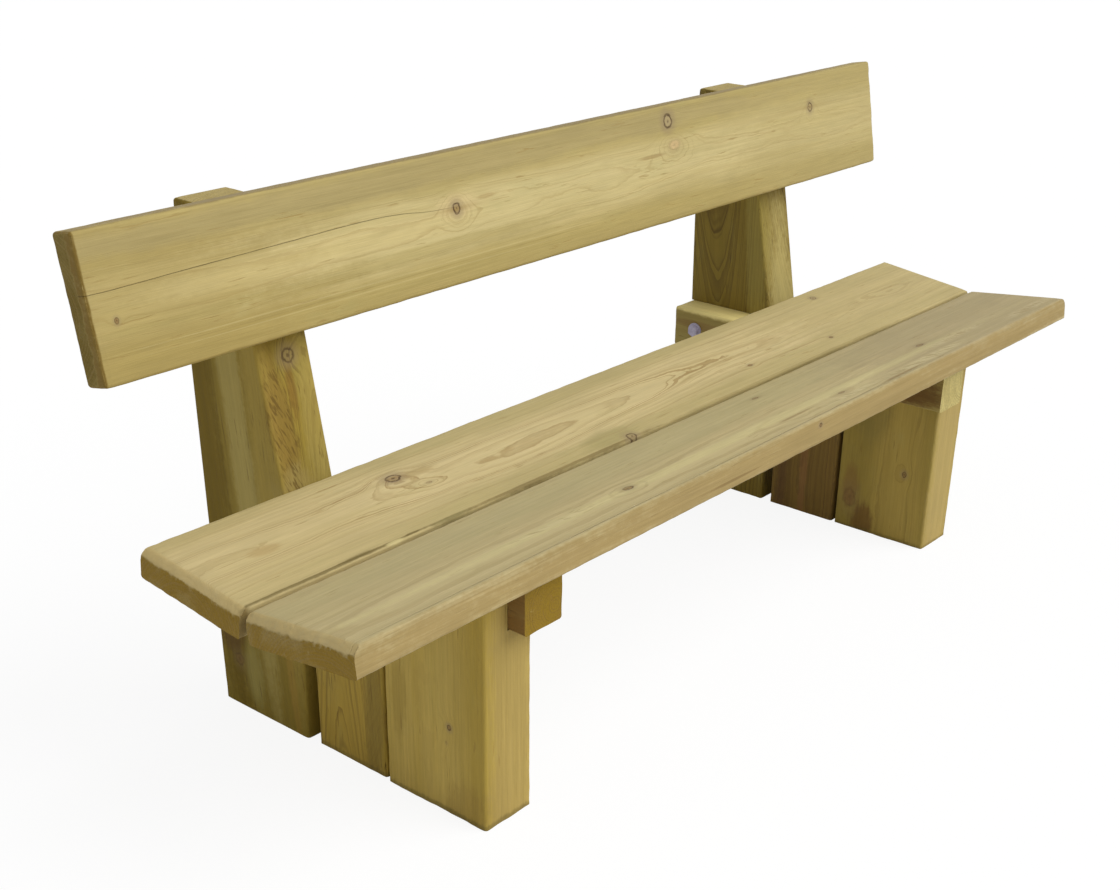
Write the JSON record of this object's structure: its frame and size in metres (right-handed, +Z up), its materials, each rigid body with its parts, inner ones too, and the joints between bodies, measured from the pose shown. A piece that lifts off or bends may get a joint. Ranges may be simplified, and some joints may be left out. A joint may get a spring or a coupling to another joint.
{
  "type": "garden bench",
  "caption": "Heavy timber garden bench: two-plank dished seat, single sloping backrest plank, plank-sided end frames and cross bearers.",
  "frame": {"origin": "on the ground, at the centre of the bench's bounding box", "axes": "+X along the bench to the right-hand end seen by someone facing it, +Y from the front of the seat to the rear, +Z up"},
  "size_m": [1.925, 0.6522, 0.8375],
  "materials": {
    "treated_pine": "sawn and planed green-brown pressure-treated softwood, weathered matt",
    "galvanised_steel": "dull hot-dip zinc coating"
  },
  "bodies": {
    "root": {"seat_plank_front": "treated_pine", "seat_plank_rear": "treated_pine", "backrest_plank": "treated_pine", "left_front_leg": "treated_pine", "left_middle_leg": "treated_pine", "left_back_post": "treated_pine", "left_bearer": "treated_pine", "right_front_leg": "treated_pine", "right_middle_leg": "treated_pine", "right_back_post": "treated_pine", "right_bearer": "treated_pine", "left_frame_screws": "galvanised_steel", "left_frame_screw_washers": "galvanised_steel", "left_seat_screws": "galvanised_steel", "left_seat_screw_washers": "galvanised_steel", "left_backrest_screws": "galvanised_steel", "left_backrest_screw_washers": "galvanised_steel", "right_frame_screws": "galvanised_steel", "right_frame_screw_washers": "galvanised_steel", "right_seat_screws": "galvanised_steel", "right_seat_screw_washers": "galvanised_steel", "right_backrest_screws": "galvanised_steel", "right_backrest_screw_washers": "galvanised_steel"}
  },
  "joints": []
}
